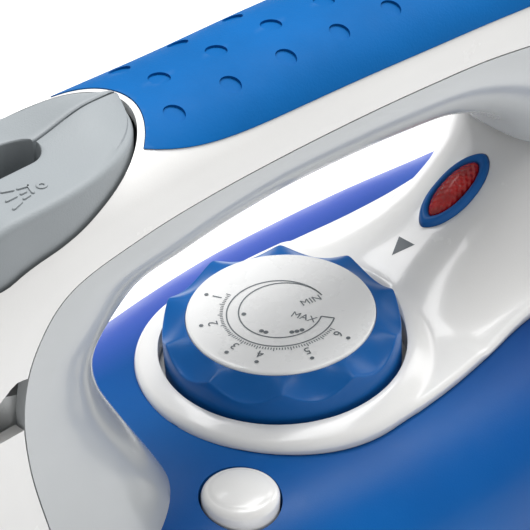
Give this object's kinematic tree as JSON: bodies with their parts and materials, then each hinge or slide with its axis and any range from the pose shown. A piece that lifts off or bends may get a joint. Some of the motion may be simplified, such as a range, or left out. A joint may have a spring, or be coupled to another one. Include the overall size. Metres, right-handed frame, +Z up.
{
  "type": "clothes iron",
  "caption": "Steam iron with soft-grip handle, turning temperature dial, spray and steam buttons, steam lever, pilot light, translucent water tank and flat soleplate.",
  "frame": {"origin": "centre of the iron's outline on the ground, under the soleplate; the dial's axis crosses the ground here", "axes": "+X to the soleplate's tip, +Y to the port side, +Z up"},
  "size_m": [0.276, 0.116, 0.147],
  "materials": {
    "white_plastic": "satin",
    "grey_gloss_plastic": "glossy",
    "grey_matte_plastic": "matte",
    "blue_soft_grip": "matte",
    "blue_plastic": "satin",
    "tank_blue": "satin translucent",
    "red_lens": "glossy",
    "polished_sole": "polished",
    "cast_aluminium": "cast",
    "steel": "satin",
    "dark_rubber": "matte",
    "heater_steel": "dark",
    "ceramic_white": "matte",
    "neon_glass": "glossy",
    "wire_red": "matte",
    "clear_hose": "satin"
  },
  "bodies": {
    "body": {"soleplate": "polished_sole", "sole_casting": "cast_aluminium", "heating_element": "heater_steel", "steam_chamber_cover": "cast_aluminium", "chamber_screws": "steel", "heat_shield": "white_plastic", "water_tank": "tank_blue", "tank_tubes": "tank_blue", "tank_gasket": "dark_rubber", "saddle": "white_plastic", "thermostat": "ceramic_white", "pilot_bezel": "blue_plastic", "pilot_lens": "red_lens", "pilot_lamp": "neon_glass", "upper_shell": "white_plastic", "lower_shell": "grey_gloss_plastic", "grip": "blue_soft_grip", "button_pin": "steel", "spray_spring": "steel", "steam_spring": "steel", "valve_seat": "dark_rubber", "spray_pump": "white_plastic", "steam_pump": "white_plastic", "pump_hoses": "clear_hose", "spray_nozzle": "grey_matte_plastic", "fill_funnel": "tank_blue", "self_clean_spring": "steel", "rear_cover": "white_plastic", "rear_screws": "steel", "cord_inlet": "dark_rubber", "terminal_block": "ceramic_white", "thermal_fuse": "ceramic_white", "inner_wires": "wire_red", "heel_pads": "dark_rubber"},
    "dial": {"dial_knob": "blue_plastic", "dial_plate": "white_plastic", "dial_shaft": "steel"},
    "spray_button": {"spray_button": "grey_matte_plastic"},
    "steam_button": {"steam_button": "grey_matte_plastic"},
    "spray_piston": {"spray_piston": "steel"},
    "steam_piston": {"steam_piston": "steel"},
    "steam_lever": {"steam_lever": "grey_matte_plastic"},
    "valve_rod": {"valve_rod": "steel"},
    "self_clean_button": {"self_clean_button": "white_plastic"},
    "fill_door": {"fill_door": "white_plastic"}
  },
  "joints": [
    {"name": "dial_turn", "type": "hinge", "parent": "body", "child": "dial", "pos_m": [0, 0, 0.06], "axis": [0.0698, 0, 0.9976], "range_deg": [-300, 12]},
    {"name": "spray_press", "type": "hinge", "parent": "body", "child": "spray_button", "pos_m": [0.052, 0, 0.137], "axis": [0, 1, 0], "range_deg": [0, 5], "stiffness_Nm_per_rad": 0.6, "springref_deg": -1.15, "deforming": ["spray_spring"]},
    {"name": "steam_press", "type": "hinge", "parent": "body", "child": "steam_button", "pos_m": [0.052, 0, 0.137], "axis": [0, 1, 0], "range_deg": [0, 5], "stiffness_Nm_per_rad": 0.6, "springref_deg": -1.15, "deforming": ["steam_spring"]},
    {"name": "spray_pump_stroke", "type": "slide", "parent": "body", "child": "spray_piston", "axis": [0, 0, -1], "range_m": [0, 0.0026]},
    {"name": "steam_pump_stroke", "type": "slide", "parent": "body", "child": "steam_piston", "axis": [0, 0, -1], "range_m": [0, 0.0026]},
    {"name": "steam_setting", "type": "slide", "parent": "body", "child": "steam_lever", "axis": [-1, 0, 0], "range_m": [0, 0.012]},
    {"name": "valve_lift", "type": "slide", "parent": "body", "child": "valve_rod", "axis": [0, 0, 1], "range_m": [0, 0.003]},
    {"name": "self_clean_press", "type": "slide", "parent": "body", "child": "self_clean_button", "axis": [0, 0, -1], "range_m": [0, 0.003], "stiffness_N_per_m": 600, "springref_m": -0.001, "deforming": ["self_clean_spring"]},
    {"name": "fill_door_swing", "type": "hinge", "parent": "body", "child": "fill_door", "pos_m": [0.1093, 0, 0.0716], "axis": [0, 1, 0], "range_deg": [0, 70]}
  ],
  "couplings": [
    {"joint": "spray_pump_stroke", "follows": "spray_press", "m_per_rad": 0.028},
    {"joint": "steam_pump_stroke", "follows": "steam_press", "m_per_rad": 0.028},
    {"joint": "valve_lift", "follows": "steam_setting", "ratio": 0.25}
  ]
}
